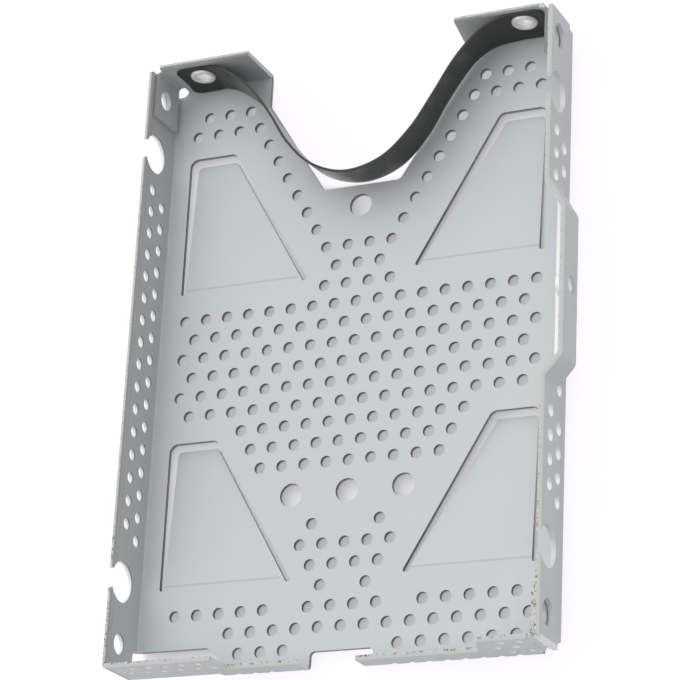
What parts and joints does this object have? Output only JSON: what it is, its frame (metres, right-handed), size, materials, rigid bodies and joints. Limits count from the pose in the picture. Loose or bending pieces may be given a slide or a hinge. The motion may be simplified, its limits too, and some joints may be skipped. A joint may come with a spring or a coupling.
{
  "type": "hard drive mounting bracket",
  "caption": "Folded perforated sheet-metal tray for a small drive, with screw notches along the walls, spring tongues and a riveted black pull strap.",
  "frame": {"origin": "on the inner face of the tray's plate, midway between the four open screw notches of the side walls", "axes": "+X across the tray towards the bulged wall, +Y along the tray towards the notched end with the strap, +Z out of the plate in the direction of the walls"},
  "size_m": [0.0776, 0.1076, 0.0117],
  "materials": {
    "sheet_steel": "zinc-plated sheet steel, satin, light blue-grey",
    "strap_film": "glossy black plastic film",
    "eyelet": "bright smooth metal"
  },
  "bodies": {
    "root": {"tray": "sheet_steel", "pull_strap": "strap_film", "strap_rivet_left": "eyelet", "strap_rivet_right": "eyelet"}
  },
  "joints": []
}
